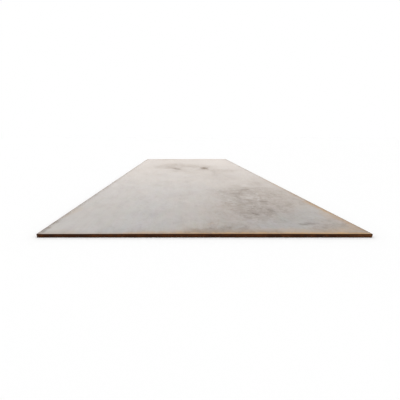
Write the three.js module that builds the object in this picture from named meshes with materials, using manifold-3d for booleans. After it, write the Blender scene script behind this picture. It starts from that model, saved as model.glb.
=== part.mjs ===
// A hot-rolled steel plate, cut to a stock size: one solid that lies flat.
//
// Frame, in millimetres: X runs across the width, Y along the rolling direction and Z up.
// The origin is the middle of the underside.
//
// The two long edges are trimmed on a shear. From the top down, such an edge has a rollover,
// where the blade drags the skin down before it bites, then a smooth upright land that the
// blade cuts, and then a torn face that leans in under the plate by the blade clearance.
// The burr at its foot is pressed flat, which leaves a small chamfer.
//
// The two ends are torch-cut square. The flame melts their top arris round, the chisel that
// knocks off the dross chamfers their foot, and the torch rounds the four corners in plan.

import * as THREE from "three";
import { mergeVertices, toCreasedNormals } from "three/addons/utils/BufferGeometryUtils.js";
import Module from "manifold-3d";

// The plate
const LENGTH = 6000;
const WIDTH = 2000;
const THICKNESS = 22;

// A sheared long edge
const ROLLOVER_REACH = 4; // in from the edge, over the top face
const ROLLOVER_DROP = 1.2; // down from the top face
const LAND_HEIGHT = 6; // of the smooth cut below the rollover
const BLADE_CLEARANCE = 1.4; // how far the torn face leans in by its foot
const BURR_CHAMFER = 0.6; // at the foot, where the burr was pressed flat

// A torch-cut end
const MELT_RADIUS = 1.5; // of the top arris
const DROSS_CHAMFER = 0.5; // at the foot

// The plan
const CORNER_RADIUS = 4;

const ARC_STEPS = 6; // straight facets to a quarter turn
const CREASE_ANGLE = THREE.MathUtils.degToRad(30); // facets that meet more gently shade as one

const wasm = await Module();
wasm.setup();

// The plate cut across: along the underside, up the right-hand edge, back over the top face and
// down the left-hand edge, which mirrors the right.
function shearedSection() {
  const edge = WIDTH / 2;
  const foot = edge - BLADE_CLEARANCE;
  const shoulder = THICKNESS - ROLLOVER_DROP;
  const tear = shoulder - LAND_HEIGHT;
  const shape = new THREE.Shape();
  shape.moveTo(-foot + BURR_CHAMFER, 0);
  shape.lineTo(foot - BURR_CHAMFER, 0);
  shape.lineTo(foot, BURR_CHAMFER);
  shape.lineTo(edge, tear);
  shape.lineTo(edge, shoulder);
  shape.absellipse(edge - ROLLOVER_REACH, shoulder, ROLLOVER_REACH, ROLLOVER_DROP, 0, Math.PI / 2);
  shape.lineTo(-edge + ROLLOVER_REACH, THICKNESS);
  shape.absellipse(
    -edge + ROLLOVER_REACH, shoulder, ROLLOVER_REACH, ROLLOVER_DROP, Math.PI / 2, Math.PI,
  );
  shape.lineTo(-edge, tear);
  shape.lineTo(-foot, BURR_CHAMFER);
  shape.closePath();
  return shape;
}

// The plate seen from its side: X of the shape is along the plate, Y of the shape is up.
function torchCutProfile() {
  const end = LENGTH / 2;
  const shape = new THREE.Shape();
  shape.moveTo(-end + DROSS_CHAMFER, 0);
  shape.lineTo(end - DROSS_CHAMFER, 0);
  shape.lineTo(end, DROSS_CHAMFER);
  shape.lineTo(end, THICKNESS - MELT_RADIUS);
  shape.absarc(end - MELT_RADIUS, THICKNESS - MELT_RADIUS, MELT_RADIUS, 0, Math.PI / 2);
  shape.lineTo(-end + MELT_RADIUS, THICKNESS);
  shape.absarc(-end + MELT_RADIUS, THICKNESS - MELT_RADIUS, MELT_RADIUS, Math.PI / 2, Math.PI);
  shape.lineTo(-end, DROSS_CHAMFER);
  shape.closePath();
  return shape;
}

// The plate seen from above, with its four rounded corners.
function planOutline() {
  const x = WIDTH / 2 - CORNER_RADIUS;
  const y = LENGTH / 2 - CORNER_RADIUS;
  const shape = new THREE.Shape();
  shape.absarc(x, y, CORNER_RADIUS, 0, Math.PI / 2);
  shape.absarc(-x, y, CORNER_RADIUS, Math.PI / 2, Math.PI);
  shape.absarc(-x, -y, CORNER_RADIUS, Math.PI, 1.5 * Math.PI);
  shape.absarc(x, -y, CORNER_RADIUS, 1.5 * Math.PI, 2 * Math.PI);
  shape.closePath();
  return shape;
}

// A shape extruded along Z to twice a span of the plate, so that it runs past the plate both ways.
function extruded(shape, span) {
  const geometry = new THREE.ExtrudeGeometry(shape, {
    depth: 2 * span,
    bevelEnabled: false,
    curveSegments: ARC_STEPS,
  });
  return geometry.translate(0, 0, -span);
}

// A closed geometry as a solid that can be cut.
function solidOf(geometry) {
  geometry.deleteAttribute("normal");
  geometry.deleteAttribute("uv");
  const merged = mergeVertices(geometry);
  const mesh = new wasm.Mesh({
    numProp: 3,
    vertProperties: merged.getAttribute("position").array,
    triVerts: merged.index.array,
  });
  return new wasm.Manifold(mesh);
}

// A cut solid as a geometry again, with flat faces and smooth arrises.
function geometryOf(solid) {
  const mesh = solid.getMesh();
  const geometry = new THREE.BufferGeometry();
  geometry.setAttribute("position", new THREE.BufferAttribute(mesh.vertProperties, mesh.numProp));
  geometry.setIndex(new THREE.BufferAttribute(mesh.triVerts, 1));
  return toCreasedNormals(geometry, CREASE_ANGLE);
}

// The plate is what the sheared section, the torch-cut profile and the plan have in common.
function plateSolid() {
  const sheared = extruded(shearedSection(), LENGTH).rotateX(Math.PI / 2);
  const torchCut = extruded(torchCutProfile(), WIDTH).rotateX(Math.PI / 2).rotateZ(Math.PI / 2);
  const plan = extruded(planOutline(), 2 * THICKNESS);
  return solidOf(sheared).intersect(solidOf(torchCut)).intersect(solidOf(plan));
}

const millScale = new THREE.MeshStandardMaterial({
  name: "hot_rolled_steel",
  color: 0x9c9791,
  roughness: 0.6,
  metalness: 0.6,
});

const plate = new THREE.Mesh(geometryOf(plateSolid()), millScale);
plate.name = "plate";

const steelPlate = new THREE.Group();
steelPlate.name = "steel_plate";
steelPlate.add(plate);

export default steelPlate;
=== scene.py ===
"""A hot-rolled steel plate as it lies in a yard: mill scale, dried mud, rusty cut edges.

The script is laid out as an add-on and run as a script. It makes two things: the plate, which
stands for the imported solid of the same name, and a plain pale studio with its camera.
"""

import math
from collections import namedtuple

import bpy
from bpy.props import FloatProperty, FloatVectorProperty, PointerProperty
from bpy.types import Operator, Panel, PropertyGroup
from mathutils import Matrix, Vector, noise
from mathutils.geometry import delaunay_2d_cdt


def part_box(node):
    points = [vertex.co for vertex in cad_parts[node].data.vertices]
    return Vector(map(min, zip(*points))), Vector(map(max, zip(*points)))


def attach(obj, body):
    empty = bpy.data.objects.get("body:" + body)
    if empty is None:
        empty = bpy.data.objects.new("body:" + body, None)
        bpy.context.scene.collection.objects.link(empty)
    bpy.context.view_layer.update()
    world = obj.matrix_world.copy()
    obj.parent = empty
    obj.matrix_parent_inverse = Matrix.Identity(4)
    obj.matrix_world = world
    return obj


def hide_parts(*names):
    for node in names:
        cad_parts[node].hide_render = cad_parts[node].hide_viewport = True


bl_info = {
    "name": "Hot-rolled steel plate",
    "version": (1, 0, 0),
    "blender": (4, 5, 0),
    "location": "3D View > Sidebar > Steel plate",
    "description": "A stock plate with mill scale, sheared long edges and torch-cut ends",
    "category": "Add Mesh",
}

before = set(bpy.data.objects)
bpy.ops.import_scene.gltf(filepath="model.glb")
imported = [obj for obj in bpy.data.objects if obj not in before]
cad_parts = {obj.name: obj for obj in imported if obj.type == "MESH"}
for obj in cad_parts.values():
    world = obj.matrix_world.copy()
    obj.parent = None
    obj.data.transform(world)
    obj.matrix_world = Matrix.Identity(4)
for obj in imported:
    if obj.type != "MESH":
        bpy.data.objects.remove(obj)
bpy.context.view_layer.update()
LOW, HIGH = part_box("plate")
WIDTH = HIGH.x - LOW.x
LENGTH = HIGH.y - LOW.y
THICKNESS = HIGH.z - LOW.z

# How finely the plate's surface is divided, in metres where not a count
END_STEP = 0.0016
SIDE_STEP = 0.006
CORNER_STEPS = 6
ARRIS_STEPS = 5
WALL_STEPS = 6
FACE_PITCH = 0.034
RIM_PITCH = 0.011
RIM_INSET = 0.013
SHARP_ANGLE = math.radians(38)

# The faces' scale; the film is the thin, smooth skin that rolling leaves on it
FACE_RELIEF = 0.0006
FACE_IOR = 1.5
SCALE_ROUGHNESS = 0.32
SCALE_FILM = 0.92
FILM_ROUGHNESS = 0.16

# The thin, warm dust that settles on the plate's faces
DUST_SHEEN = 0.5
DUST_ROUGHNESS = 0.3
DUST_TINT = (1.0, 0.78, 0.6, 1.0)

# The cuts; a torch's grooves lag behind it by so many metres at their foot
CUT_RELIEF = 0.0004
CUT_IOR = 1.1
CUT_ROUGHNESS = 0.92
GROOVE_PITCH = 0.0022
GROOVE_LAG = 0.004

# How thick mud can lie, and how many rings a drying haze leaves
MUD_MOST = 1.25
TIDE_RINGS = 6.0

# Noise keeps to the middle of its range, so a push is scaled up; a seed moves it along a path
NOISE_SPREAD = 4.0
SEED_PATH = (1.0, 1.7, 0.3)

# The plate's material slots, in the order in which its mesh has them
TOP, UNDERSIDE, CUTS = range(3)

# The plate's map, from its foot up: eight strips of cut edge, the underside and the top face.
# These are shares of the map, except STRIP_GAP, which is a share of a strip.
MAP_MARGIN = 0.004
STRIPS = 8
STRIP_HEIGHT = 0.0137
STRIP_MARGIN = 0.006
STRIP_GAP = 0.12
UNDERSIDE_MAP = (0.115, 0.445)
TOP_MAP = (0.452, 0.996)


def metres(name, description, default, most):
    """A size in metres that the user can change, from nothing up to a sensible most."""
    return FloatProperty(
        name=name,
        description=description,
        default=default,
        min=0.0,
        max=most,
        precision=5,
        subtype="DISTANCE",
        unit="LENGTH",
    )


def rgb(name, description, default):
    """A colour that the user can change, in scene-linear red, green and blue."""
    return FloatVectorProperty(
        name=name,
        description=description,
        default=default,
        size=3,
        min=0.0,
        max=1.0,
        subtype="COLOR",
    )


class PlateEdges(PropertyGroup):
    """The shape of the cut edges, and how rough the cuts are."""

    rollover_reach: metres("Rollover reach", "How far in the shear drags the arris", 0.004, 0.02)
    rollover_drop: metres("Rollover drop", "How far down the shear drags the arris", 0.0012, 0.01)
    land_height: metres("Land height", "Height of the land that the blade cuts", 0.006, 0.02)
    blade_clearance: metres("Blade clearance", "How far in the torn face leans", 0.0014, 0.01)
    burr_chamfer: metres("Burr chamfer", "Chamfer at a sheared edge's foot", 0.0006, 0.005)
    melt_radius: metres("Melt radius", "Radius of the torch-cut top arris", 0.0015, 0.01)
    dross_chamfer: metres("Dross chamfer", "Chamfer at a torch-cut end's foot", 0.0005, 0.005)
    corner_radius: metres("Corner radius", "Radius of the corners in plan", 0.004, 0.05)
    drag_pitch: metres("Drag line pitch", "Distance between torch grooves", 0.0045, 0.02)
    drag_depth: metres("Drag line depth", "Depth of torch grooves at the foot", 0.00045, 0.003)
    drag_lag: metres("Drag line lag", "How far a groove's foot trails", 0.004, 0.02)
    tear_pitch: metres("Tear grain", "Size of the crags on the torn face", 0.009, 0.05)
    tear_depth: metres("Tear depth", "Depth of the crags on the torn face", 0.0005, 0.003)
    land_waver: metres("Land waver", "How far the tear wanders up and down", 0.0014, 0.005)
    nick_depth: metres("Nick depth", "Depth of the deepest knocks in the arris", 0.0009, 0.005)
    flatness: metres("Flatness", "Depth of the hollows in the top face", 0.0006, 0.003)


class PlateFinish(PropertyGroup):
    """The colours of the plate's surfaces."""

    scale_grey: rgb("Scale", "Sound mill scale", (0.25, 0.236, 0.222))
    scale_blue: rgb("Blue scale", "Thin bluish mill scale", (0.235, 0.235, 0.245))
    scale_brown: rgb("Weathered scale", "Scale with a haze of rust dust", (0.21, 0.176, 0.15))
    scale_dark: rgb("Dark scale", "Thick, dark mill scale", (0.145, 0.138, 0.134))
    brown_wash: rgb("Brown wash", "Share let through by rust dust", (0.93, 0.82, 0.745))
    slate_wash: rgb("Slate wash", "Share let through where rain dried", (0.7, 0.745, 0.755))
    dust: rgb("Dust", "Brown dust that dried on the face", (0.154, 0.127, 0.104))
    # The mud's colour also lays painted shade along the top face's left edge
    mud_and_edge_shade: rgb("Mud", "Dark smears of mud and old oil", (0.062, 0.054, 0.047))
    rust_tan: rgb("Rust bloom", "Pale bloom of rust beside a cut", (0.33, 0.212, 0.112))
    rust_gold: rgb("Golden rust", "Golden rust in the pale bloom", (0.46, 0.275, 0.1))
    rust_orange: rgb("Fresh rust", "Fresh rust on a bare arris", (0.42, 0.17, 0.055))
    rust_brown: rgb("Rust", "Settled rust on a cut face", (0.09, 0.028, 0.007))
    rust_dark: rgb("Old rust", "Dark old rust over torch oxide", (0.03, 0.011, 0.005))
    torch_oxide: rgb("Torch oxide", "Blue-black oxide of a torch", (0.018, 0.013, 0.011))
    bare_steel: rgb("Scuffed steel", "Steel that was scuffed bright", (0.48, 0.47, 0.46))


class StudioSettings(PropertyGroup):
    """The floor, the light and the camera."""

    floor_colour: rgb("Floor", "Plain pale floor", (0.893, 0.893, 0.892))
    sky_strength: FloatProperty(
        name="Sky", description="Brightness of the white surroundings", default=1.0, min=0.0
    )
    key_strength: FloatProperty(
        name="Key light", description="Strength of the one soft light", default=0.45, min=0.0
    )
    lens: FloatProperty(
        name="Lens", description="Focal length", default=26.847, min=5.0, subtype="DISTANCE_CAMERA"
    )
    camera_place: FloatVectorProperty(
        name="Camera", description="Where the camera stands", default=(-0.1397, -4.6893, 0.589),
        size=3, subtype="XYZ", unit="LENGTH",
    )
    camera_pitch: FloatProperty(
        name="Pitch", description="How far the camera looks down", default=math.radians(12.04),
        subtype="ANGLE", unit="ROTATION",
    )
    camera_shift: FloatProperty(
        name="Shift", description="Sideways shift of the lens, in frame widths", default=0.0472
    )


# ------------------------------
# The plate's shape

# A sheared edge: lengths of its waves in metres, and the shares that the finer ones add
ROLLOVER_WAVE = 0.6
TEAR_WAVE = 0.11
TEAR_RIPPLE = 0.023
TEAR_RIPPLE_SHARE = 0.35
CRAG_SQUASH = 1.6
SHELF_LENGTH = 0.07
SHELF_HEIGHT = 0.012
SHELF_SHARE = 0.6

# A torch-cut end: lengths and depths in metres, and the ripple as shares of a groove
MELT_WAVE = 0.05
WANDER_WAVE = 0.33
WANDER_DEPTH = 0.0004
GOUGE_LENGTH = 0.011
GOUGE_DEPTH = 0.0011
RIPPLE_PITCH = 2.6
RIPPLE_SHARE = 0.7
CHIP_LENGTH = 0.008

# Noise above these levels leaves a gouge in a torch-cut end or a knock in an arris
GOUGE_PEAK = 0.8
NICK_PEAK = 0.78
NICK_LENGTH = 0.035
NICK_SLANT = 0.6

# The hollows of the top face: sizes along X and Y, and the width of their fade at the edge
HOLLOW_SIZE = (0.75, 1.1)
DIMPLE_SIZE = (0.21, 0.32)
DIMPLE_SHARE = 0.2
HOLLOW_FADE = 0.15

# Filling a face: keep what is inside its border, and join points that are nearer than this
INSIDE_ONLY = 1
JOIN_WITHIN = 1e-7

# A point of the outline: where it is, which way its edge faces, how far round the outline it
# lies, and whether its edge is sheared (0) or torch-cut (1), or in between on a corner
Station = namedtuple("Station", "point outward run torch")


def heading(turn):
    """The way that a turn in radians points, and the way to the left of it."""
    outward = Vector((math.cos(turn), math.sin(turn)))
    return outward, Vector((-outward.y, outward.x))


def plan_stations(edges):
    """Points round the plate, counter-clockwise from the left of the front end."""
    radius = edges.corner_radius
    found = []

    def add(point, outward, torch):
        run = found[-1].run + (point - found[-1].point).length if found else 0.0
        found.append(Station(point, outward, run, torch))

    for quarter in range(4):
        facing = math.radians(90 * quarter - 90)
        torch = quarter % 2 == 0
        outward, along = heading(facing)
        out_to = (LENGTH if torch else WIDTH) / 2
        half_run = (WIDTH if torch else LENGTH) / 2 - radius
        steps = round(2 * half_run / (END_STEP if torch else SIDE_STEP))
        for step in range(steps):
            slide = half_run * (2 * step / steps - 1)
            add(outward * out_to + along * slide, outward, float(torch))
        pivot = outward * (out_to - radius) + along * half_run
        for step in range(CORNER_STEPS):
            turn = step / CORNER_STEPS
            direction, _ = heading(facing + turn * math.pi / 2)
            add(pivot + direction * radius, direction, 1 - turn if torch else turn)
    return found


def unit_noise(*where):
    """Smooth noise from 0 to 1 at up to three coordinates."""
    return 0.5 + 0.5 * noise.noise(where + (0.5,) * (3 - len(where)))


def peak(value, start):
    """Nothing up to the start, then a straight climb to 1."""
    return max(0.0, value - start) / (1 - start)


def arris(reach, drop):
    """A quarter of an ellipse from the top face over to the edge, as insets and heights."""
    turns = [step / ARRIS_STEPS * math.pi / 2 for step in range(ARRIS_STEPS + 1)]
    return [
        (reach * (1 - math.sin(turn)), THICKNESS - drop * (1 - math.cos(turn))) for turn in turns
    ]


def sheared_profile(edges, run):
    """A sheared edge from the top face down: rollover, land, torn face, pressed-down burr."""
    shoulder = THICKNESS - edges.rollover_drop
    ripple = TEAR_RIPPLE_SHARE * unit_noise(run / TEAR_RIPPLE, 8.1)
    waver = unit_noise(run / TEAR_WAVE, 4.2) + ripple
    most = 1 + TEAR_RIPPLE_SHARE
    tear = shoulder - edges.land_height + edges.land_waver * (most - 2 * waver)
    reach = edges.rollover_reach * (0.8 + 0.4 * unit_noise(run / ROLLOVER_WAVE, 1.7))
    rows = arris(reach, edges.rollover_drop)
    rows.append((0.0, (shoulder + tear) / 2))
    torn_steps = WALL_STEPS - 2
    for step in range(torn_steps + 1):
        share = step / torn_steps
        height = tear + share * (edges.burr_chamfer - tear)
        level = height / edges.tear_pitch * CRAG_SQUASH
        crag = unit_noise(run / edges.tear_pitch, level, 2.3)
        shelf = unit_noise(run / SHELF_LENGTH, height / SHELF_HEIGHT, 6.6)
        depth = edges.tear_depth * (crag + SHELF_SHARE * shelf) * min(1, 3 * share)
        rows.append((edges.blade_clearance * share + depth, height))
    rows.append((rows[-1][0] + edges.burr_chamfer, 0.0))
    return rows


def torch_profile(edges, run):
    """A torch-cut end from the top face down: melted arris, grooved face, chipped foot."""
    reach = edges.melt_radius * (0.8 + 0.5 * unit_noise(run / MELT_WAVE, 3.9))
    rows = arris(reach, edges.melt_radius)
    wander = WANDER_DEPTH * unit_noise(run / WANDER_WAVE, 7.7)
    gouge = GOUGE_DEPTH * peak(unit_noise(run / GOUGE_LENGTH, 12.4), GOUGE_PEAK)
    shoulder = THICKNESS - edges.melt_radius
    for step in range(1, WALL_STEPS + 1):
        share = step / WALL_STEPS
        lagged = run - edges.drag_lag * share**2
        groove = unit_noise(lagged / edges.drag_pitch, 0.8 * share, 1.1)
        ripple = unit_noise(lagged / (RIPPLE_PITCH * edges.drag_pitch), share, 5.3)
        depth = edges.drag_depth * (0.25 + 0.75 * share) * (groove + RIPPLE_SHARE * ripple)
        height = shoulder + share * (edges.dross_chamfer - shoulder)
        rows.append((wander + gouge * min(1, 2 * share) + depth, height))
    rows[ARRIS_STEPS] = (wander, rows[ARRIS_STEPS][1])
    foot = edges.dross_chamfer * (0.7 + 1.2 * unit_noise(run / CHIP_LENGTH, 10.2))
    rows.append((rows[-1][0] + foot, 0.0))
    return rows


def edge_rows(edges, station):
    """The insets and heights of one station's profile, with the knocks in its top arris."""
    sheared = sheared_profile(edges, station.run)
    torched = torch_profile(edges, station.run)
    knock = peak(unit_noise(station.run / NICK_LENGTH, 21.7), NICK_PEAK) * edges.nick_depth
    knocked = ARRIS_STEPS + 2
    rows = []
    for index, (one, other) in enumerate(zip(sheared, torched)):
        inset = one[0] + station.torch * (other[0] - one[0])
        height = one[1] + station.torch * (other[1] - one[1])
        bite = knock * math.sin(math.pi * index / knocked) if index < knocked else 0
        rows.append((inset + bite, height - NICK_SLANT * bite))
    return rows


def rim_points():
    """Places in a row along each edge of a face, a little way in."""
    half = Vector((WIDTH / 2, LENGTH / 2))
    places = []
    for corner in range(4):
        outward, along = heading(math.radians(90 * corner))
        out_to = abs(outward.dot(half)) - RIM_INSET
        reach = abs(along.dot(half)) - RIM_INSET
        steps = round(2 * reach / RIM_PITCH)
        places += [outward * out_to + along * reach * (2 * k / steps - 1) for k in range(steps)]
    return places


def grid_line(span):
    """Evenly spaced places along a span of the plate, a little way in from its ends."""
    steps = round((span - 2 * FACE_PITCH) / FACE_PITCH)
    return [(span / 2 - FACE_PITCH) * (2 * step / steps - 1) for step in range(steps + 1)]


def fill_face(border, height_at):
    """Triangles that fill a face inside its border: small beside the edge, large in the middle."""
    places = [Vector(point) for point in border] + rim_points()
    places += [Vector((x, y)) for y in grid_line(LENGTH) for x in grid_line(WIDTH)]
    count = len(border)
    loop = [(index, (index + 1) % count) for index in range(count)]
    flat, _, triangles, sources, _, _ = delaunay_2d_cdt(places, loop, [], INSIDE_ONLY, JOIN_WITHIN)
    points = [(point.x, point.y, height_at(point)) for point in flat]
    own = [next((k for k in source if k < count), None) for source in sources]
    return points, triangles, own


def hollow(edges, point):
    """How far the top face dips at a point: never above the true face, and flat at the edges."""
    wide = unit_noise(point.x / HOLLOW_SIZE[0], point.y / HOLLOW_SIZE[1], 3.0)
    small = unit_noise(point.x / DIMPLE_SIZE[0], point.y / DIMPLE_SIZE[1], 8.0)
    gap = min(WIDTH / 2 - abs(point.x), LENGTH / 2 - abs(point.y))
    fade = min(1.0, max(0.0, gap - RIM_INSET) / HOLLOW_FADE)
    return edges.flatness * fade * ((1 - DIMPLE_SHARE) * wide + DIMPLE_SHARE * small)


def map_face(point, band):
    """A face's place on the plate's map: its length runs across the picture."""
    low, high = band
    across = 0.5 + point[0] / WIDTH
    along = 0.5 + point[1] / LENGTH
    return MAP_MARGIN + along * (1 - 2 * MAP_MARGIN), low + across * (high - low)


def map_strip(strip, along, across):
    """A place on one of the map's strips of cut edge, from shares of its length and height."""
    inside = STRIP_GAP + across * (1 - 2 * STRIP_GAP)
    return STRIP_MARGIN + along * (1 - 2 * STRIP_MARGIN), STRIP_HEIGHT * (strip + inside)


class Skin:
    """The plate's skin in the making: faces with their material slots and places on the map."""

    def __init__(self, edges):
        self.stations = plan_stations(edges)
        self.rows = ARRIS_STEPS + WALL_STEPS + 2
        self.vertices = []
        self.depths = []
        self.faces = []
        self.slots = []
        self.places = []
        for station in self.stations:
            self.add_profile(station, edge_rows(edges, station))

    def add_profile(self, station, profile):
        """Adds one station's vertices, and how far down the edge each of them lies."""
        travelled = 0.0
        for index, (inset, height) in enumerate(profile):
            place = station.point - station.outward * inset
            self.vertices.append((place.x, place.y, height))
            if index:
                travelled += math.dist(profile[index - 1], profile[index])
            self.depths.append(travelled)

    def add_face(self, corners, slot, places):
        self.faces.append(corners)
        self.slots.append(slot)
        self.places += places

    def add_walls(self):
        """Joins each station's profile to the next one's, all round the plate."""
        first, last = self.stations[0], self.stations[-1]
        round_trip = last.run + (first.point - last.point).length
        runs = [station.run for station in self.stations] + [round_trip]
        strip_run = round_trip / STRIPS
        deepest = max(self.depths)
        count = len(self.stations)
        for here in range(count):
            after = (here + 1) % count
            middle = (runs[here] + runs[here + 1]) / 2
            strip = min(STRIPS - 1, int(middle / strip_run))
            shares = [(run - strip * strip_run) / strip_run for run in runs[here : here + 2]]
            for row in range(self.rows - 1):
                near, far = here * self.rows + row, after * self.rows + row
                corners = [near, near + 1, far + 1, far]
                places = [
                    map_strip(strip, along, self.depths[corner] / deepest)
                    for along, corner in zip((shares[0], *shares, shares[1]), corners)
                ]
                self.add_face(corners, CUTS, places)

    def close(self, row, height_at, slot, band, flip):
        """Fills the face that one row of the profiles goes round."""
        own_row = range(row, len(self.stations) * self.rows, self.rows)
        border = [self.vertices[index][:2] for index in own_row]
        points, triangles, own = fill_face(border, height_at)
        numbers = []
        for point, source in zip(points, own):
            if source is None:
                numbers.append(len(self.vertices))
                self.vertices.append(point)
            else:
                numbers.append(own_row[source])
        for triangle in triangles:
            ordered = triangle[::-1] if flip else triangle
            places = [map_face(points[k], band) for k in ordered]
            self.add_face([numbers[k] for k in ordered], slot, places)


def plate_mesh(edges):
    """The whole skin of the plate as one mesh, with its map and its material slots."""
    skin = Skin(edges)
    skin.add_walls()
    skin.close(0, lambda point: THICKNESS - hollow(edges, point), TOP, TOP_MAP, flip=False)
    skin.close(skin.rows - 1, lambda point: 0.0, UNDERSIDE, UNDERSIDE_MAP, flip=True)
    mesh = bpy.data.meshes.new("plate_body")
    mesh.from_pydata(skin.vertices, [], skin.faces)
    mesh.polygons.foreach_set("material_index", skin.slots)
    layer = mesh.uv_layers.new(name="OFBake")
    layer.uv.foreach_set("vector", [number for place in skin.places for number in place])
    mesh.shade_smooth()
    mesh.set_sharp_from_angle(angle=SHARP_ANGLE)
    mesh.validate()
    mesh.update()
    return mesh


# ------------------------------
# Shader maths

# A Mix node's sockets for two colours, and its output for the mixed colour
MIX_UNDER, MIX_OVER, MIX_RESULT = 6, 7, 2


class Wire:
    """A socket that gives out a value. Arithmetic on it adds Math nodes."""

    def __init__(self, paint, socket):
        self.paint = paint
        self.socket = socket

    def math(self, operation, *others):
        return self.paint.math(operation, self, *others)

    def out(self, name):
        """Another output of the same node."""
        return Wire(self.paint, self.socket.node.outputs[name])

    def __add__(self, other):
        return self.math("ADD", other)

    def __sub__(self, other):
        return self.math("SUBTRACT", other)

    def __rsub__(self, other):
        return self.paint.math("SUBTRACT", other, self)

    def __mul__(self, other):
        return self.math("MULTIPLY", other)

    def __truediv__(self, other):
        return self.math("DIVIDE", other)

    def __abs__(self):
        return self.math("ABSOLUTE")

    __radd__ = __add__
    __rmul__ = __mul__

    def least(self, other):
        return self.math("MINIMUM", other)

    def most(self, other):
        return self.math("MAXIMUM", other)

    def ease(self, start, end):
        """0 up to the start, 1 from the end, and a smooth ramp between; start may be above end."""
        inputs = {"Value": self, "From Min": start, "From Max": end}
        return self.paint.node("ShaderNodeMapRange", {"interpolation_type": "SMOOTHSTEP"}, inputs)


class Paint:
    """A material in the making, with its looks so far."""

    def __init__(self, name):
        self.material = bpy.data.materials.new(name)
        self.material.use_nodes = True
        self.tree = self.material.node_tree
        self.tree.nodes.clear()
        self.place = self.node("ShaderNodeTexCoord", output="Object")
        self.x = self.node("ShaderNodeSeparateXYZ", inputs={"Vector": self.place}, output="X")
        self.y = self.x.out("Y")
        self.z = self.x.out("Z")
        self.colour = self.roughness = self.height = None
        self.film = 0.0

    def add(self, kind, settings=None, inputs=None):
        """Adds a node: first its settings, then the values or links of its sockets."""
        node = self.tree.nodes.new(kind)
        for name, value in (settings or {}).items():
            setattr(node, name, value)
        for name, value in (inputs or {}).items():
            if isinstance(value, Wire):
                self.tree.links.new(value.socket, node.inputs[name])
            else:
                node.inputs[name].default_value = value
        return node

    def node(self, kind, settings=None, inputs=None, output=0):
        """Adds a node and gives one of its outputs."""
        return Wire(self, self.add(kind, settings, inputs).outputs[output])

    def math(self, operation, *values):
        return self.node("ShaderNodeMath", {"operation": operation}, dict(enumerate(values)))

    def vector(self, operation, *values, scale=None, output="Vector"):
        inputs = dict(enumerate(values))
        if scale is not None:
            inputs["Scale"] = scale
        return self.node("ShaderNodeVectorMath", {"operation": operation}, inputs, output)

    def stretched(self, size, seed):
        """The place on the plate, counted in patches of a size in metres along X, Y and Z."""
        inputs = {
            "Vector": self.place,
            "Location": [seed * share for share in SEED_PATH],
            "Scale": [1 / span for span in size],
        }
        return self.node("ShaderNodeMapping", {"vector_type": "POINT"}, inputs)

    def clouds(self, place, output, detail, roughness, distortion=0.0):
        """Cloudy noise at a place: its value or its colour."""
        inputs = {
            "Vector": place,
            "Scale": 1.0,
            "Detail": detail,
            "Roughness": roughness,
            "Distortion": distortion,
        }
        return self.node("ShaderNodeTexNoise", {"noise_dimensions": "3D"}, inputs, output)

    def blotches(self, size, seed, detail=3.0, roughness=0.55, distortion=0.0):
        """Cloudy noise from 0 to 1, with patches of about that size in metres."""
        return self.clouds(self.stretched(size, seed), 0, detail, roughness, distortion)

    def nudged(self, size, seed, amount):
        """The place on the plate, pushed about in its plane by up to about so many metres."""
        cloud = self.clouds(self.stretched(size, seed), "Color", 4.0, 0.6)
        push = (NOISE_SPREAD * amount, NOISE_SPREAD * amount, 0.0)
        flat = self.vector("MULTIPLY", self.place, (1.0, 1.0, 0.0))
        centred = self.vector("SUBTRACT", cloud, (0.5, 0.5, 0.5))
        return self.vector("MULTIPLY_ADD", centred, push, flat)

    def cells(self, size, seed):
        """Distance to the nearest of many scattered points, about that many metres apart."""
        inputs = {"Vector": self.stretched(size, seed), "Scale": 1.0}
        return self.node("ShaderNodeTexVoronoi", {"feature": "F1"}, inputs, "Distance")

    def mix(self, under, over, share):
        """One colour laid over another."""
        inputs = {0: share, MIX_UNDER: opaque(under), MIX_OVER: opaque(over)}
        return self.node("ShaderNodeMix", {"data_type": "RGBA"}, inputs, MIX_RESULT)

    def lay(self, over, share):
        """Lays a colour over what there is so far."""
        self.colour = self.mix(self.colour, over, share)

    def wash(self, filtered):
        """Lets only a share of each colour through."""
        self.colour = self.vector("MULTIPLY", self.colour, filtered)

    def tint(self, size, seed, amount):
        """Makes the hue wander by up to about that share, in patches of a size in metres."""
        cloud = self.clouds(self.stretched(size, seed), "Color", 3.0, 0.6)
        self.wash(self.vector("MULTIPLY_ADD", cloud, (2 * amount,) * 3, (1.0 - amount,) * 3))

    def finish(self, relief, ior, sheen=0.0):
        """Ends the material, with a bump of relief metres and a share of dusty sheen."""
        bump = self.node("ShaderNodeBump", {}, {"Distance": relief, "Height": self.height})
        looks = {
            "Base Color": self.colour,
            "Roughness": self.roughness,
            "IOR": ior,
            "Coat Weight": self.film,
            "Coat Roughness": FILM_ROUGHNESS,
            "Sheen Weight": sheen,
            "Sheen Roughness": DUST_ROUGHNESS,
            "Sheen Tint": DUST_TINT,
            "Normal": bump,
        }
        surface = self.node("ShaderNodeBsdfPrincipled", {}, looks)
        self.add("ShaderNodeOutputMaterial", {}, {"Surface": surface})
        return self.material


def opaque(colour):
    """A wire as it is, or a colour of three numbers with its alpha."""
    return colour if isinstance(colour, Wire) else (*colour, 1.0)


# ------------------------------
# The plate's materials

# Marks on the top face, as brush strokes: X and Y of the start and of the end in metres from the
# plate's middle, the width in metres and the strength.

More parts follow.
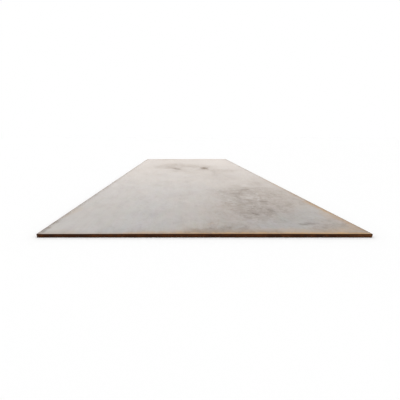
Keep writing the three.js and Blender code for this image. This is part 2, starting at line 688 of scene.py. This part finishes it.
# Soft brown hazes, where wet dust dried
HAZES = (
    (0.45, -2.54, 0.5, -1.62, 0.28, 1.0),
    (-0.5, -1.96, -0.14, -1.86, 0.1, 0.28),
    (-0.7, -2.74, -0.56, -2.66, 0.12, 0.25),
    (0.66, -2.6, 0.74, -1.55, 0.22, 0.9),
    (0.74, -1.2, 0.76, -0.96, 0.12, 0.55),
    (0.5, -2.34, 0.5, -1.66, 0.12, 1.3),
    (0.74, -2.92, 0.78, -2.84, 0.09, 1.2),
    (0.93, -2.9, 0.9, -2.1, 0.12, 0.8),
    (0.44, -0.6, 0.4, 0.36, 0.22, 0.45),
    (0.3, 0.46, 0.58, 0.36, 0.2, 0.95),
    (0.36, 0.86, 0.44, 0.74, 0.1, 0.6),
    (-0.58, 0.92, -0.4, 1.1, 0.17, 0.65),
    (-0.36, 0.8, -0.34, 1.5, 0.16, 1.0),
    (-0.1, 1.1, 0.26, 1.02, 0.12, 0.9),
    (-0.22, 1.26, 0.14, 1.08, 0.34, 1.0),
    (-0.12, 0.3, -0.08, 0.6, 0.24, 0.58),
    (0.0, -0.06, 0.04, 0.24, 0.12, 0.45),
    (-0.6, 2.78, -0.3, 2.82, 0.14, 0.5),
    (-0.08, -2.94, 0.22, -2.86, 0.09, 1.0),
    (0.66, -2.9, 0.94, -2.72, 0.12, 0.6),
    (0.84, -2.97, 0.97, -2.78, 0.07, 1.0),
)
# Dark smears of mud and old oil, and painted shade along the left edge at the front
SMEARS_AND_EDGE_SHADE = (
    (0.32, -2.58, 0.32, -2.36, 0.03, 0.45),
    (0.4, -2.57, 0.41, -2.44, 0.026, 0.65),
    (0.45, -2.5, 0.5, -2.42, 0.018, 0.5),
    (0.52, -2.56, 0.58, -2.38, 0.022, 0.7),
    (0.36, -2.26, 0.4, -2.0, 0.04, 0.4),
    (0.41, -1.98, 0.39, -1.82, 0.018, 0.7),
    (0.39, -1.78, 0.43, -1.67, 0.038, 0.55),
    (0.31, -1.7, 0.26, -1.54, 0.022, 0.6),
    (0.59, -2.13, 0.605, -2.06, 0.02, 0.55),
    (0.53, -1.52, 0.53, -1.44, 0.024, 0.5),
    (-0.14, -1.99, -0.1, -1.93, 0.03, 0.22),
    (0.56, -1.72, 0.58, -1.54, 0.022, 0.4),
    (0.56, -1.78, 0.74, -1.46, 0.014, 0.45),
    (0.66, -2.8, 0.76, -2.77, 0.02, 0.85),
    (0.57, -2.72, 0.63, -2.66, 0.05, 0.3),
    (0.12, -2.7, 0.18, -2.68, 0.03, 0.22),
    (0.13, -2.87, 0.16, -2.86, 0.026, 0.75),
    (-0.08, -2.94, -0.04, -2.92, 0.028, 0.6),
    (0.79, -1.08, 0.81, -0.98, 0.03, 0.45),
    (-0.06, -0.88, 0.02, -0.68, 0.044, 0.25),
    (-0.17, 0.46, -0.19, 0.68, 0.044, 0.8),
    (-0.18, 0.48, -0.19, 0.68, 0.034, 1.5),
    (-0.24, 0.64, -0.27, 0.76, 0.052, 0.9),
    (-0.23, 0.66, -0.26, 0.76, 0.042, 1.7),
    (-0.18, 0.46, -0.28, 0.82, 0.095, 0.34),
    (-0.34, 0.78, -0.33, 1.12, 0.12, 0.5),
    (-0.54, 0.96, -0.5, 1.14, 0.1, 0.24),
    (-0.1, 1.02, 0.14, 0.99, 0.06, 0.4),
    (0.0, -2.957, 0.46, -2.957, 0.02, 0.6),
    (-0.16, 0.8, -0.14, 1.02, 0.034, 0.5),
    (-0.1, 1.04, 0.2, 1.0, 0.03, 0.45),
    (0.272, 0.6, 0.296, 0.92, 0.095, 0.34),
    (0.282, 0.62, 0.292, 0.9, 0.052, 1.3),
    (0.28, 0.66, 0.29, 0.84, 0.056, 2.4),
    (-0.25, 1.32, -0.25, 1.84, 0.03, 0.6),
    (-0.15, 1.42, -0.15, 1.86, 0.026, 0.4),
    (0.36, -0.3, 0.42, 0.36, 0.04, 0.4),
    (-0.6, 2.7, -0.48, 2.78, 0.09, 0.6),
    # Painted shade along the left arris at the front, laid in the colour of the mud
    (-0.994, -2.97, -0.99, -2.7, 0.02, 0.55),
)
# Dabs of mud with harder edges
DABS = (
    (0.405, -1.54, 0.49, -1.54, 0.022, 0.6),
    (0.525, -1.475, 0.58, -1.475, 0.024, 0.95),
    (0.575, -1.59, 0.585, -1.59, 0.022, 0.55),
    (0.38, -1.725, 0.465, -1.72, 0.03, 0.85),
    (0.29, -1.655, 0.315, -1.65, 0.02, 0.5),
    (0.402, -1.81, 0.412, -1.87, 0.014, 0.6),
    (0.46, -2.05, 0.6, -2.05, 0.013, 0.5),
    (0.578, -2.085, 0.61, -2.1, 0.021, 1.15),
    (0.63, -2.12, 0.68, -2.3, 0.009, 0.45),
    (0.335, -2.26, 0.34, -2.29, 0.018, 0.5),
    (0.425, -2.355, 0.44, -2.355, 0.014, 0.65),
    (0.486, -2.355, 0.5, -2.36, 0.014, 0.65),
    (0.542, -2.355, 0.552, -2.36, 0.012, 0.6),
    (0.552, -2.4, 0.575, -2.44, 0.018, 1.15),
    (0.503, -2.485, 0.525, -2.495, 0.012, 0.9),
    (0.528, -2.54, 0.54, -2.548, 0.013, 0.95),
    (0.552, -2.5, 0.58, -2.5, 0.014, 0.75),
    (0.49, -2.46, 0.486, -2.545, 0.009, 0.5),
    (0.405, -2.505, 0.42, -2.545, 0.017, 1.0),
    (0.362, -2.545, 0.38, -2.55, 0.012, 0.6),
    (0.404, -2.59, 0.408, -2.63, 0.009, 0.5),
    (0.296, -2.47, 0.3, -2.52, 0.012, 0.4),
)
# Where the haze is full of dark flecks
FLECKED = (
    (0.46, -2.5, 0.52, -2.24, 0.14, 1.0),
    (0.45, -1.7, 0.54, -1.5, 0.13, 0.45),
    (0.62, -2.24, 0.7, -1.8, 0.16, 0.5),
    (0.14, -2.6, 0.2, -2.3, 0.1, 0.4),
)
# Where rain has rinsed the brown off the front of the plate
RINSED = (
    (0.52, -2.86, 0.84, -2.44, 0.15, 1.0),
    (0.8, -2.62, 0.9, -2.3, 0.08, 0.6),
    (0.2, -2.84, 0.32, -2.74, 0.06, 0.5),
)
# Pale places that were wiped or scuffed
WORN = (
    (0.5, -1.94, 0.56, -1.76, 0.055, 0.8),
    (0.6, -1.24, 0.61, -1.14, 0.04, 0.8),
    (-0.9, -2.86, -0.6, -2.72, 0.18, 0.5),
    (0.62, 1.5, 0.62, 2.8, 0.26, 0.7),
    (-0.92, 1.5, -0.92, 2.3, 0.12, 0.6),
    (0.565, -2.05, 0.635, -1.68, 0.012, 0.9),
    (0.44, -1.98, 0.46, -1.84, 0.02, 0.5),
    (0.3, -2.02, 0.24, -1.4, 0.012, 0.4),
)
# Where rust has run out of a cut and dried on the face
RUNS = (
    (0.82, -2.99, 0.98, -2.88, 0.07, 0.8),
    (0.99, -2.84, 0.98, -2.1, 0.032, 0.9),
    (0.96, -2.64, 0.98, -2.5, 0.06, 0.7),
    (-0.46, -2.99, -0.12, -2.98, 0.034, 1.0),
    (0.02, -2.96, 0.46, -2.96, 0.03, 0.8),
    (-0.92, -2.97, -0.82, -2.95, 0.04, 0.4),
    (0.2, -2.99, 0.62, -2.98, 0.034, 0.7),
    (0.42, -2.955, 0.6, -2.95, 0.06, 0.75),
    (0.04, -2.79, 0.07, -2.78, 0.014, 0.8),
    (0.12, -2.72, 0.22, -2.28, 0.14, 0.2),
    (-0.08, -2.86, 0.1, -2.78, 0.08, 0.22),
    (-0.99, -2.6, -0.96, -2.36, 0.034, 0.5),
)
# Where boots and chains have left grime on the rusty borders
TRODDEN = (
    (-0.02, -2.93, 0.44, -2.93, 0.036, 0.45),
    (0.04, -2.925, 0.1, -2.93, 0.03, 0.7),
    (0.9, -2.965, 0.99, -2.95, 0.026, 0.45),
    (-0.985, -2.965, -0.86, -2.97, 0.018, 0.4),
    (0.99, -2.12, 0.99, -1.48, 0.014, 0.55),
)


def painted(paint, place, strokes, soft):
    """How strongly the strokes cover each place: full in their hearts, fading past their rims."""
    total = None
    for from_x, from_y, to_x, to_y, width, strength in strokes:
        start = (from_x, from_y, 0.0)
        reach = Vector((to_x, to_y, 0.0)) - Vector(start)
        offset = paint.vector("SUBTRACT", place, start)
        share = paint.vector("DOT_PRODUCT", offset, reach / reach.length_squared, output="Value")
        onto = paint.vector("SCALE", tuple(reach), scale=share.most(0.0).least(1.0))
        far = paint.vector("DISTANCE", offset, onto, output="Value")
        cover = far.ease(width * (1.0 + soft), width * (1.0 - soft)) * strength
        total = cover if total is None else total.most(cover)
    return total


def lay_scale(paint, finish, seed):
    """Mill scale, before anything has marked it, with painted shade in the hollows of its grain."""

    def patches(wide, long, step, **kind):
        return paint.blotches((wide, long, 1.0), seed + step, **kind)

    clouds = patches(0.55, 0.9, 0.0)
    thick = patches(0.2, 0.42, 7.0, detail=4.0, distortion=0.4)
    streaks = patches(0.014, 2.2, 13.0, detail=2.0)
    hairlines = patches(0.003, 0.35, 17.0, detail=2.0)
    mottle = patches(0.045, 0.06, 19.0, detail=5.0, roughness=0.65)
    flakes = patches(0.034, 0.042, 23.0, detail=6.0, roughness=0.74)
    grain = patches(0.0045, 0.006, 29.0, roughness=0.65)
    specks = patches(0.011, 0.012, 37.0, roughness=0.7)
    paint.colour = finish.scale_grey
    paint.lay(finish.scale_blue, clouds.ease(0.4, 0.62) * 0.75)
    paint.lay(finish.scale_dark, thick.ease(0.52, 0.74) * 0.35)
    paint.lay(finish.scale_dark, streaks.ease(0.5, 0.78) * 0.16)
    paint.lay(finish.bare_steel, mottle.ease(0.56, 0.8) * 0.16)
    paint.lay(finish.scale_dark, mottle.ease(0.46, 0.24) * 0.3)

    lost = flakes.ease(0.56, 0.59) * clouds.ease(0.34, 0.56)
    paint.lay(finish.scale_brown, lost * 0.4)
    paint.lay(finish.scale_dark, flakes.ease(0.4, 0.375) * 0.3)
    # Darker in the grain's hollows, where the bump is low: painted shade in the colour of dark
    # scale
    paint.lay(finish.scale_dark, grain.ease(0.5, 0.3) * 0.3)
    paint.lay(finish.bare_steel, hairlines.ease(0.6, 0.72) * 0.07)
    paint.lay(finish.scale_dark, specks.ease(0.64, 0.72) * 0.55)
    bands = patches(0.026, 0.22, 47.0, detail=5.0, roughness=0.7)
    paint.lay(finish.scale_dark, bands.ease(0.5, 0.34) * 0.24)
    paint.lay(finish.bare_steel, bands.ease(0.54, 0.7) * 0.12)
    paint.tint((0.06, 0.26, 1.0), seed + 53.0, 0.12)

    paint.roughness = SCALE_ROUGHNESS + mottle * 0.12 + streaks * 0.05 + grain * 0.06 + lost * 0.1
    paint.height = mottle * 0.5 + grain * 0.16 - lost * 0.12 + streaks * 0.05
    dull = patches(0.16, 0.26, 43.0, detail=5.0, roughness=0.6)
    paint.film = SCALE_FILM - 0.2 * dull.ease(0.42, 0.7) - 0.16 * mottle.ease(0.42, 0.66)
    paint.film = paint.film - 0.14 * bands.ease(0.52, 0.36)


def edge_gaps(paint):
    """How far a place is from the nearer long edge and from the nearer end."""
    side = WIDTH / 2 - abs(paint.x)
    end = LENGTH / 2 - abs(paint.y)
    return side, end


def lay_rust(paint, finish, seed, end_share, side_share):
    """Rust that creeps in over a face from the cuts, with freckles that thin out away from them."""
    side, end = edge_gaps(paint)
    ragged = paint.blotches((0.04, 0.05, 1.0), seed, detail=5.0, roughness=0.68)
    patchy = paint.blotches((0.24, 0.34, 1.0), seed + 5.0)
    speckle = paint.blotches((0.014, 0.016, 1.0), seed + 11.0, roughness=0.6)
    pits = paint.blotches((0.005, 0.006, 1.0), seed + 15.0, detail=4.0, roughness=0.72)

    veil = (end.ease(0.145, 0.01) * end_share).most(side.ease(0.075, 0.004) * side_share)
    veil = veil * (0.3 + 0.7 * ragged.ease(0.34, 0.62)) * (0.65 + 0.35 * patchy.ease(0.38, 0.6))
    paint.lay(finish.rust_tan, veil * 0.85)

    end_grime = end.ease(0.06, 0.02) * paint.x.ease(-0.5, -0.1)
    end_grime = end_grime * (1.0 - 0.7 * paint.x.ease(0.35, 0.7))
    # Dust along the ends and the long edges; along the top face's left edge this darkening is also
    # painted shade on the arris
    grime_and_edge_shade = (side.ease(0.05, 0.006) * (1.0 - 0.6 * side_share)).most(end_grime)
    grime_and_edge_shade = grime_and_edge_shade * speckle.most(ragged).ease(0.46, 0.62)
    paint.lay(finish.dust, grime_and_edge_shade * 0.8)

    end_core = (end / 0.035 + 2.0 * (ragged - 0.5)).ease(1.2, 0.5) * (0.25 + 0.75 * end_share)
    side_reach = 0.008 + (0.01 + 0.022 * patchy.ease(0.44, 0.6)) * side_share
    side_core = (side / side_reach + 2.0 * (ragged - 0.5)).ease(1.2, 0.4) * side_share
    core = end_core.most(side_core)
    golden = speckle.ease(0.42, 0.58).most(end_core * 0.8)
    tint = paint.mix(finish.rust_tan, finish.rust_gold, golden * (0.35 + 0.65 * end_core))
    paint.lay(tint, core * 0.88)
    paint.lay(finish.rust_brown, core.most(veil * 0.6) * pits.ease(0.48, 0.34) * 0.38)

    end_reach = 0.006 + 0.008 * paint.x.ease(-0.75, -0.15) * paint.x.ease(0.8, 0.4)
    rim = (side.ease(0.009, 0.003) * 0.7).most((end / end_reach).ease(1.0, 0.3))
    paint.lay(finish.rust_brown, rim * (0.8 + 0.2 * ragged.ease(0.4, 0.65)))
    dots = paint.cells((0.026, 0.026, 1.0), seed + 9.0).ease(0.24, 0.1)
    near = side.least(end).ease(0.3, 0.0) * 0.8 + patchy.ease(0.6, 0.8) * 0.8
    freckles = dots * near * ragged.ease(0.48, 0.66)
    paint.lay(finish.rust_orange, freckles * 0.65)
    rusted = core.most(rim).most(freckles).most(veil * 0.6).most(grime_and_edge_shade * 0.75)
    paint.roughness = paint.roughness + rusted * 0.3
    return rusted


def lay_wash(paint, finish):
    """Thin brown over the front and the right; gives a loose place and where it was rinsed."""
    right = paint.x.ease(-0.45, 0.75)
    front = paint.y.ease(1.2, -2.6)
    loose = paint.nudged((0.3, 0.42, 1.0), 51.0, 0.09)
    rinsed = painted(paint, loose, RINSED, soft=0.6)
    wash = paint.mix(finish.brown_wash, finish.slate_wash, rinsed * 0.8)
    paint.wash(paint.mix((1.0, 1.0, 1.0), wash, right * front))
    paint.film = paint.film * (1.0 - 0.22 * right * front)
    return loose, rinsed


def lay_haze(paint, finish, loose, tight, rinsed):
    """Dried dust, save where it was wiped or rinsed; gives the haze, its clouds and the dust."""
    worn = painted(paint, tight, WORN, soft=0.6)
    paint.lay(finish.bare_steel, worn * 0.22)
    paint.film = paint.film * (1.0 + 0.1 * worn)
    haze = painted(paint, loose, HAZES, soft=0.75)
    cloudy = paint.blotches((0.07, 0.11, 1.0), 63.0, detail=5.0, roughness=0.66)
    dust = haze * (0.35 + 0.65 * cloudy.ease(0.36, 0.6)) * (1.0 - 0.6 * worn)
    dust = dust * (1.0 - 0.7 * rinsed)
    paint.lay(finish.dust, dust * 0.68)
    return haze, cloudy, dust


def lay_tides(paint, finish, haze, cloudy, rinsed):
    """Pale rings where a haze dried; gives the dark pepper among them."""
    tides = paint.blotches((0.34, 0.16, 1.0), 77.0, detail=6.0, roughness=0.62, distortion=0.5)
    tide = (tides * TIDE_RINGS).math("FRACT")
    tidal = haze.ease(0.25, 0.85) * (1.0 - rinsed)
    paint.lay(finish.bare_steel, tide.ease(0.34, 0.05) * tidal * 0.1)
    pepper = paint.blotches((0.026, 0.036, 1.0), 73.0, detail=6.0, roughness=0.74, distortion=0.8)
    tide = tide.ease(0.62, 1.0) * cloudy.ease(0.4, 0.6)
    return tidal * (pepper.ease(0.53, 0.62) * 0.62).most(tide * 0.5)


def top_material(finish):
    """The top face: scale with brown hazes, smears of mud, pale scuffs and rusty borders, and
    painted shade along its left edge.
    """
    paint = Paint("mill_scale_top")
    lay_scale(paint, finish, 3.0)
    loose, rinsed = lay_wash(paint, finish)
    tight = paint.nudged((0.06, 0.09, 1.0), 57.0, 0.03)
    haze, cloudy, dust = lay_haze(paint, finish, loose, tight, rinsed)

    grains = paint.blotches((0.026, 0.042, 1.0), 69.0, detail=6.0, roughness=0.72)
    spatter = paint.blotches((0.007, 0.01, 1.0), 71.0, detail=4.0, roughness=0.66)
    broken = grains.ease(0.38, 0.6) * (0.6 + 0.4 * spatter.ease(0.4, 0.58))
    flecks = painted(paint, loose, FLECKED, soft=0.7)
    flecks = flecks * (grains * 0.7 + spatter * 0.3).ease(0.5, 0.62)
    smears_and_edge_shade = painted(paint, tight, SMEARS_AND_EDGE_SHADE, soft=0.8)
    hearts = (smears_and_edge_shade - 0.8) * (0.66 + 0.34 * broken)
    smears_and_edge_shade = (smears_and_edge_shade.least(1.4) * (0.14 + 0.94 * broken)).most(hearts)
    peppered = lay_tides(paint, finish, haze, cloudy, rinsed)
    close = paint.nudged((0.026, 0.034, 1.0), 59.0, 0.016)
    dabs = painted(paint, close, DABS, soft=0.6) * (0.46 + 0.6 * broken)
    caked_and_edge_shade = smears_and_edge_shade.most(dabs)
    # The mud also carries the painted shade along the left edge at the front
    mud_and_edge_shade = caked_and_edge_shade.most(flecks * 0.7).most(peppered).least(MUD_MOST)
    paint.lay(finish.mud_and_edge_shade, mud_and_edge_shade * 0.75)

    runs = painted(paint, tight, RUNS, soft=0.8) * (0.45 + 0.55 * grains.ease(0.38, 0.58))
    paint.lay(finish.rust_tan, runs * 0.75)
    near_end = paint.x.ease(-0.75, 0.15)
    near_side = paint.x.ease(-0.5, 0.5) * paint.y.ease(0.5, -2.2)
    rusted = lay_rust(paint, finish, 75.0, near_end, near_side)
    trodden = painted(paint, close, TRODDEN, soft=0.8)
    paint.lay(finish.dust, trodden * (0.5 + 0.5 * grains.ease(0.36, 0.58)))

    # Only caked mud, with the painted shade line that lies in it, and rust stand up; the rest lies
    # flat
    paint.roughness = paint.roughness + mud_and_edge_shade * 0.25 + dust * 0.1
    paint.height = paint.height + caked_and_edge_shade.least(MUD_MOST) * 0.4 + rusted * 0.25
    rusted = rusted.most(runs * 0.55)
    paint.film = paint.film * (1.0 - 0.22 * dust) * (1.0 - 0.8 * mud_and_edge_shade) * (1.0 - 0.9 * rusted)
    return paint.finish(FACE_RELIEF, FACE_IOR, DUST_SHEEN)


def underside_material(finish):
    """The underside: the same scale, dustier, with rusty borders all round."""
    paint = Paint("mill_scale_underside")
    lay_scale(paint, finish, 90.0)
    dust = paint.blotches((0.3, 0.5, 1.0), 97.0, detail=4.0).ease(0.45, 0.7)
    paint.lay(finish.scale_brown, dust * 0.7)
    rusted = lay_rust(paint, finish, 105.0, 0.8, 0.8)
    paint.height = paint.height + rusted * 0.25
    paint.film = paint.film * (1.0 - 0.5 * dust) * (1.0 - rusted)
    paint.roughness = paint.roughness + dust * 0.12
    return paint.finish(FACE_RELIEF, FACE_IOR, DUST_SHEEN)


def torch_grooves(paint, up):
    """The fine grooves of a torch cut, which trail behind towards their foot."""
    lag = (1.0 - up) * (1.0 - up) * GROOVE_LAG * paint.y.math("SIGN")
    lagged = {"X": (paint.x + lag) / GROOVE_PITCH, "Y": 4.0, "Z": up * 1.3}
    return paint.clouds(paint.node("ShaderNodeCombineXYZ", {}, lagged), 0, 2.0, 0.5)


def burnt_colour(paint, finish, up, clouds, runs, crust, grooves):
    """The torch-cut ends: dark rust and patches of oxide, darkest along the head and the foot; the
    dark along the foot is partly painted shade.
    """
    paint.colour = finish.rust_brown
    paint.lay(finish.rust_dark, clouds.ease(0.36, 0.62) * 0.8)
    paint.lay(finish.torch_oxide, runs.ease(0.48, 0.66) * 0.5)
    paint.lay(finish.torch_oxide, grooves.ease(0.54, 0.38) * 0.4)
    paint.lay(finish.rust_orange, crust.ease(0.56, 0.74) * runs.ease(0.52, 0.4) * 0.16)
    paint.lay(finish.rust_dark, crust.ease(0.46, 0.32) * 0.55)
    fresh = paint.x.ease(0.82, 0.96) * (0.4 + 1.2 * crust.ease(0.4, 0.62)) * (1.0 - 0.6 * clouds)
    paint.lay(finish.rust_orange, fresh * 0.18)
    level = up + 0.7 * (runs - 0.5) + 0.5 * (crust - 0.5)
    # Darker towards the foot: dark rust, and painted shade where the foot meets the ground
    paint.lay(finish.rust_dark, level.ease(0.42, 0.14) * 0.85)
    paint.lay(finish.rust_dark, level.ease(0.64, 0.92) * 0.7)
    return paint.colour


def sheared_colours(paint, finish, clouds, crust, scores):
    """A sheared edge: the dark crust of its torn face, and the scored rust of its smooth land."""
    paint.colour = finish.rust_brown
    paint.lay(finish.rust_orange, crust.ease(0.54, 0.76) * 0.22)
    paint.lay(finish.rust_dark, clouds.ease(0.46, 0.66) * 0.45)
    paint.lay(finish.rust_dark, crust.ease(0.48, 0.3) * 0.75)
    torn = paint.colour
    paint.colour = finish.rust_brown
    paint.lay(finish.scale_grey, clouds.ease(0.58, 0.36) * 0.14 + scores.ease(0.4, 0.68) * 0.07)
    paint.lay(finish.rust_dark, scores.ease(0.46, 0.3) * 0.35)
    return torn, paint.colour


def cut_material(finish):
    """The cut edges: dark rust over torch grooves at the ends, brown rust on the sheared sides."""
    paint = Paint("rusty_cuts")
    side, end = edge_gaps(paint)
    torched = (side - end).ease(-0.002, 0.002)
    up = paint.z / THICKNESS
    clouds = paint.blotches((0.07, 0.07, 0.04), 121.0, detail=4.0)
    runs = paint.blotches((0.009, 0.009, 0.05), 124.0, detail=4.0, roughness=0.6)
    crust = paint.blotches((0.0045, 0.0045, 0.004), 127.0, detail=5.0, roughness=0.68)
    grooves = torch_grooves(paint, up)
    burnt = burnt_colour(paint, finish, up, clouds, runs, crust, grooves)

    scores = paint.blotches((0.02, 0.0011, 0.06), 133.0, roughness=0.6)
    torn, land = sheared_colours(paint, finish, clouds, crust, scores)
    is_land = (up + 0.16 * (runs - 0.5)).ease(0.61, 0.66)
    sheared = paint.mix(torn, land, is_land)

    paint.colour = paint.mix(sheared, burnt, torched)
    lip = up.ease(0.9, 0.985)
    paint.lay(finish.rust_orange, lip * clouds.ease(0.5, 0.68) * 0.1)
    paint.roughness = CUT_ROUGHNESS - is_land * (1.0 - torched) * 0.22 - lip * 0.1
    grooved = torched * grooves * 0.7
    scored = (1.0 - torched) * scores * is_land * 0.25
    paint.height = grooved + scored + crust * 0.5
    return paint.finish(CUT_RELIEF, CUT_IOR)


class STEEL_PLATE_OT_make_plate(Operator):
    """Make the steel plate, with its cut edges and its finish"""

    bl_idname = "steel_plate.make_plate"
    bl_label = "Make plate"
    bl_options = {"REGISTER", "UNDO"}

    def execute(self, context):
        settings = context.scene
        mesh = plate_mesh(settings.plate_edges)
        mesh.materials.append(top_material(settings.plate_finish))
        mesh.materials.append(underside_material(settings.plate_finish))
        mesh.materials.append(cut_material(settings.plate_finish))
        plate = bpy.data.objects.new("plate_body", mesh)
        context.scene.collection.objects.link(plate)
        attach(plate, "root")
        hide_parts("plate")
        return {"FINISHED"}


# ------------------------------
# The studio

FLOOR_REACH = 300.0
FLOOR_SIDES = 96
FLOOR_GAP = 0.0002
KEY_SPREAD = math.radians(60)
KEY_FROM = (-0.55, 0.35, 1.0)
FLOOR_FLECK = (0.887, 0.887, 0.887)
FLOOR_ROUGHNESS = 0.9
FLOOR_RELIEF = 0.0001
FLOOR_IOR = 1.3


def floor_mesh():
    """A wide round floor, just under the plate."""
    rim = [
        (FLOOR_REACH * math.cos(turn), FLOOR_REACH * math.sin(turn), -FLOOR_GAP)
        for turn in (math.tau * side / FLOOR_SIDES for side in range(FLOOR_SIDES))
    ]
    mesh = bpy.data.meshes.new("floor")
    mesh.from_pydata(rim, [], [list(range(FLOOR_SIDES))])
    return mesh


def floor_material(studio):
    """Plain pale floor paint."""
    paint = Paint("floor_paint")
    faint = paint.blotches((0.8, 0.8, 0.8), 151.0, detail=2.0)
    paint.colour = paint.mix(studio.floor_colour, FLOOR_FLECK, faint)
    paint.roughness = FLOOR_ROUGHNESS
    paint.height = faint
    return paint.finish(FLOOR_RELIEF, FLOOR_IOR)


class STEEL_PLATE_OT_set_stage(Operator):
    """Set up the floor, the light and the camera"""

    bl_idname = "steel_plate.set_stage"
    bl_label = "Set stage"
    bl_options = {"REGISTER", "UNDO"}

    def execute(self, context):
        scene = context.scene
        studio = scene.plate_studio
        mesh = floor_mesh()
        mesh.materials.append(floor_material(studio))
        floor = bpy.data.objects.new("floor", mesh)
        scene.collection.objects.link(floor)

        world = bpy.data.worlds.new("even_sky")
        world.use_nodes = True
        sky = world.node_tree.nodes["Background"]
        sky.inputs["Color"].default_value = (1.0, 1.0, 1.0, 1.0)
        sky.inputs["Strength"].default_value = studio.sky_strength
        scene.world = world

        light = bpy.data.lights.new("key", "SUN")
        light.angle = KEY_SPREAD
        light.energy = studio.key_strength
        key = bpy.data.objects.new("key", light)
        key.rotation_euler = Vector(KEY_FROM).to_track_quat("Z", "Y").to_euler()
        scene.collection.objects.link(key)

        lens = bpy.data.cameras.new("camera")
        lens.lens = studio.lens
        lens.shift_x = studio.camera_shift
        lens.clip_end = 2 * FLOOR_REACH
        camera = bpy.data.objects.new("camera", lens)
        camera.location = studio.camera_place
        camera.rotation_euler = (math.pi / 2 - studio.camera_pitch, 0.0, 0.0)
        scene.collection.objects.link(camera)
        scene.camera = camera
        scene.view_settings.view_transform = "Standard"
        return {"FINISHED"}


class STEEL_PLATE_PT_panel(Panel):
    """What the add-on makes, and the sizes and colours that it uses"""

    bl_label = "Steel plate"
    bl_idname = "STEEL_PLATE_PT_panel"
    bl_space_type = "VIEW_3D"
    bl_region_type = "UI"
    bl_category = "Steel plate"

    def draw(self, context):
        for maker in (STEEL_PLATE_OT_make_plate, STEEL_PLATE_OT_set_stage):
            self.layout.operator(maker.bl_idname)
        for name in SETTINGS:
            group = getattr(context.scene, name)
            column = self.layout.column()
            for key in group.bl_rna.properties.keys():
                if key not in ("rna_type", "name"):
                    column.prop(group, key)


SETTINGS = {
    "plate_edges": PlateEdges,
    "plate_finish": PlateFinish,
    "plate_studio": StudioSettings,
}
CLASSES = (
    *SETTINGS.values(),
    STEEL_PLATE_OT_make_plate,
    STEEL_PLATE_OT_set_stage,
    STEEL_PLATE_PT_panel,
)


def register():
    for cls in CLASSES:
        bpy.utils.register_class(cls)
    for name, group in SETTINGS.items():
        setattr(bpy.types.Scene, name, PointerProperty(type=group))


def unregister():
    for name in SETTINGS:
        delattr(bpy.types.Scene, name)
    for cls in reversed(CLASSES):
        bpy.utils.unregister_class(cls)


def main():
    register()
    bpy.ops.steel_plate.set_stage()
    bpy.ops.steel_plate.make_plate()


if __name__ == "__main__":
    main()
